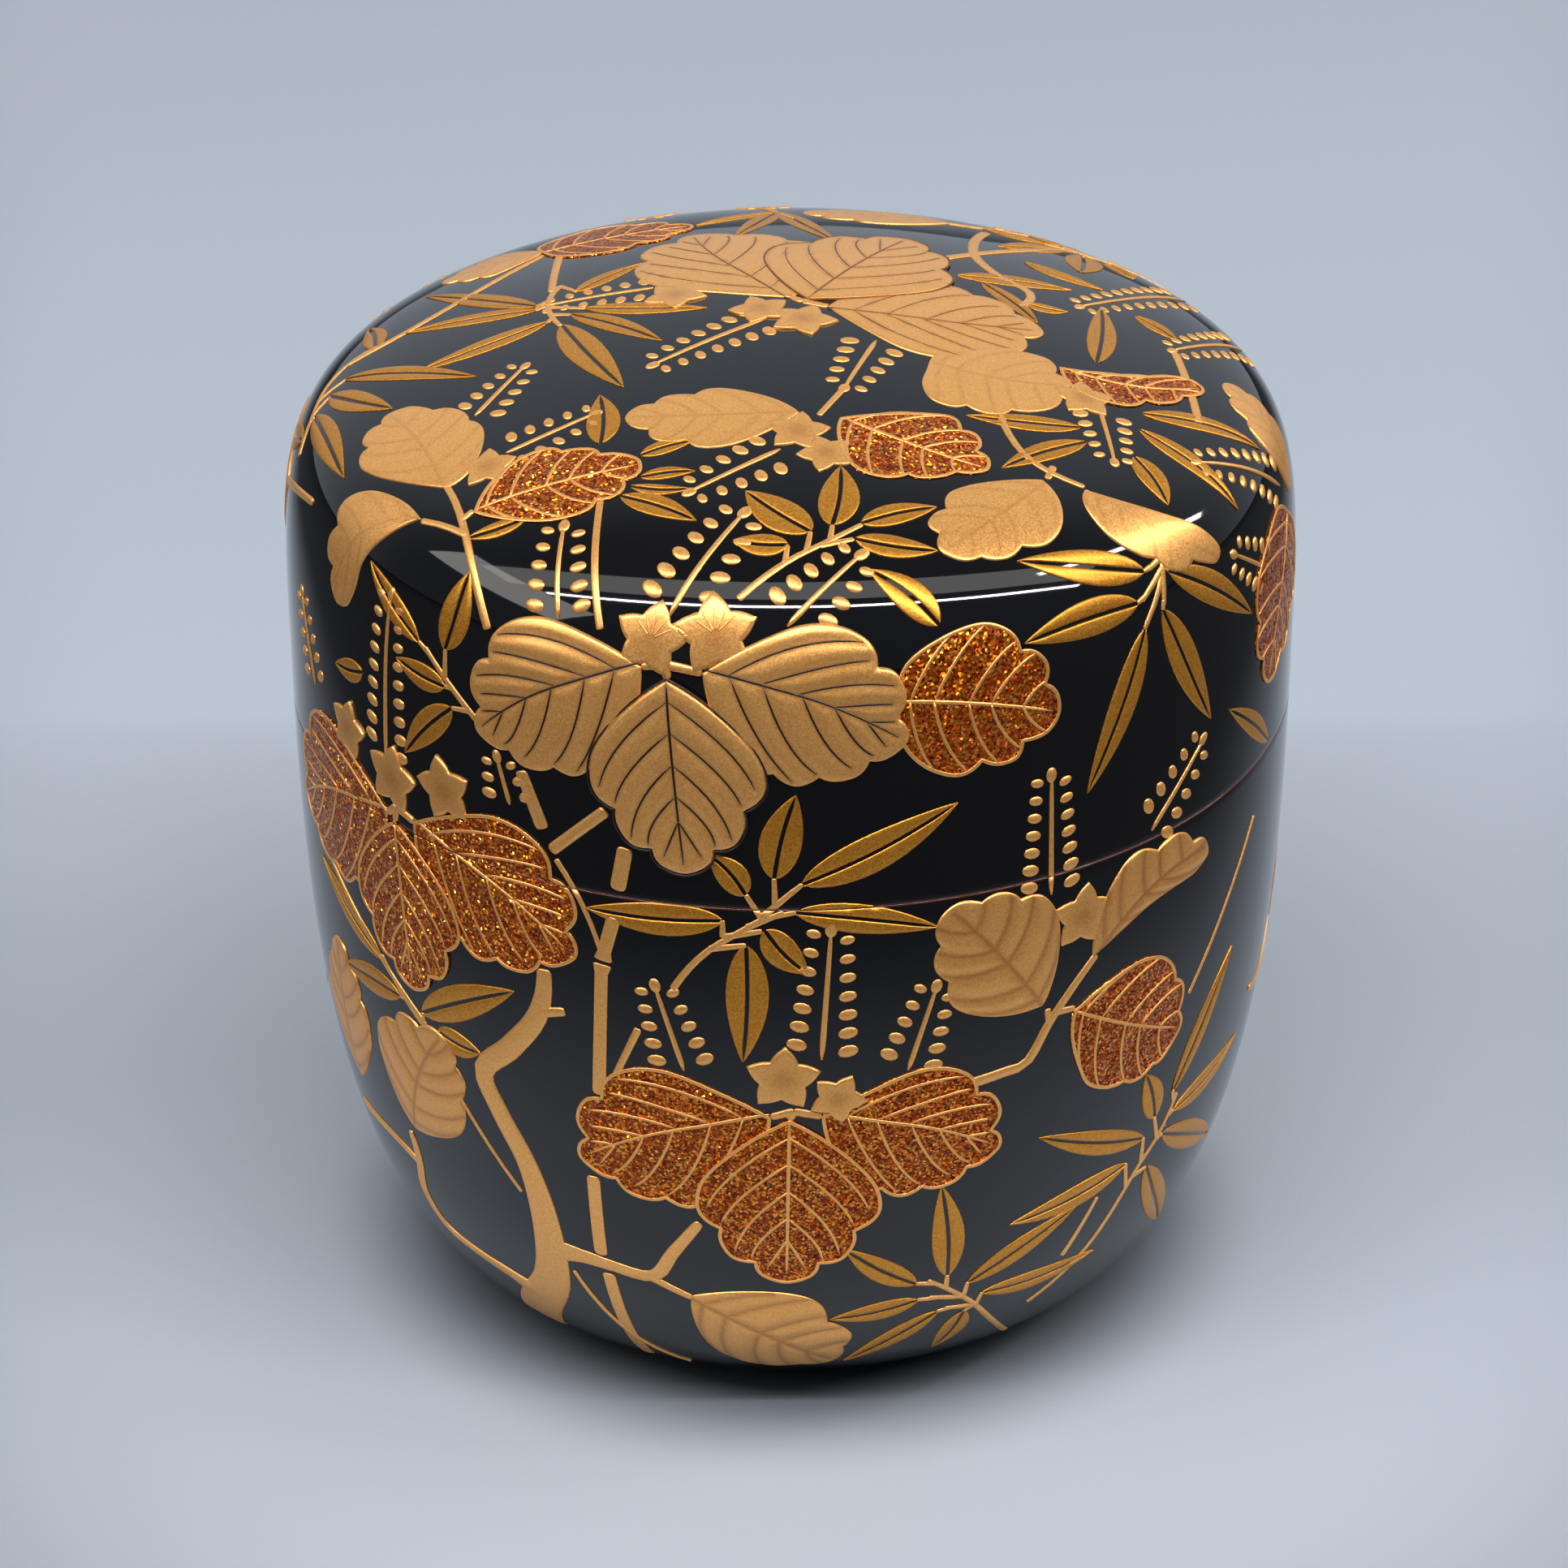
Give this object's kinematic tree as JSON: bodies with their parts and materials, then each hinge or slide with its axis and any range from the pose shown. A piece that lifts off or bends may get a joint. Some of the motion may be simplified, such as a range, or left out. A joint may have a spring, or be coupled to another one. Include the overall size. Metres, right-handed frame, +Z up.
{
  "type": "lidded tea caddy",
  "caption": "Round lacquered tea caddy with a lift-off lid, a collar inside the seam, and raised gold paulownia and bamboo over a black ground.",
  "frame": {"origin": "centre of the foot, on the surface that the caddy stands on", "axes": "+Z up along the axis that the body and lid are turned on; -Y is the decorated front"},
  "size_m": [0.074, 0.0742, 0.0765],
  "materials": {
    "black_lacquer": "gloss",
    "gold_powder": "satin",
    "olive_gold": "satin",
    "red_gold_flake": "satin"
  },
  "bodies": {
    "body": {"body": "black_lacquer", "body_bamboo_back": "olive_gold", "body_bamboo_centre": "olive_gold", "body_bamboo_left": "olive_gold", "body_bamboo_low": "olive_gold", "body_bamboo_right": "olive_gold", "body_culm": "gold_powder", "body_culm_back": "gold_powder", "body_leaf_back": "gold_powder", "body_leaf_back_red": "red_gold_flake", "body_leaf_far_left": "gold_powder", "body_leaf_left": "gold_powder", "body_leaf_low": "gold_powder", "body_leaf_right": "gold_powder", "body_leaf_right_folded": "gold_powder", "body_leaf_right_red": "red_gold_flake", "body_leaf_side": "gold_powder", "body_leaf_side_left": "gold_powder", "body_spray_back": "red_gold_flake", "body_spray_centre": "red_gold_flake", "body_spray_left": "red_gold_flake", "body_trunk": "gold_powder", "body_trunk_back": "gold_powder"},
    "lid": {"lid": "black_lacquer", "lid_bamboo_back": "olive_gold", "lid_bamboo_centre": "olive_gold", "lid_bamboo_crown": "olive_gold", "lid_bamboo_front": "olive_gold", "lid_bamboo_left": "olive_gold", "lid_bamboo_right": "olive_gold", "lid_bamboo_shoulder": "olive_gold", "lid_culm": "gold_powder", "lid_leaf_back": "gold_powder", "lid_leaf_back_left": "gold_powder", "lid_leaf_back_red": "red_gold_flake", "lid_leaf_front_red": "red_gold_flake", "lid_leaf_left": "gold_powder", "lid_leaf_left_curled": "gold_powder", "lid_leaf_left_red": "red_gold_flake", "lid_leaf_middle": "gold_powder", "lid_leaf_middle_red": "red_gold_flake", "lid_leaf_rear_red": "red_gold_flake", "lid_leaf_right": "gold_powder", "lid_leaf_right_folded": "gold_powder", "lid_leaf_right_front": "gold_powder", "lid_leaf_right_red": "red_gold_flake", "lid_leaf_shoulder": "gold_powder", "lid_leaf_side": "gold_powder", "lid_leaf_side_red": "red_gold_flake", "lid_spray_back": "gold_powder", "lid_spray_crown": "gold_powder", "lid_spray_front": "gold_powder", "lid_spray_left": "red_gold_flake"}
  },
  "joints": [
    {"name": "lid_lift", "type": "slide", "parent": "body", "child": "lid", "axis": [0, 0, 1], "range_m": [0, 0.06]}
  ]
}
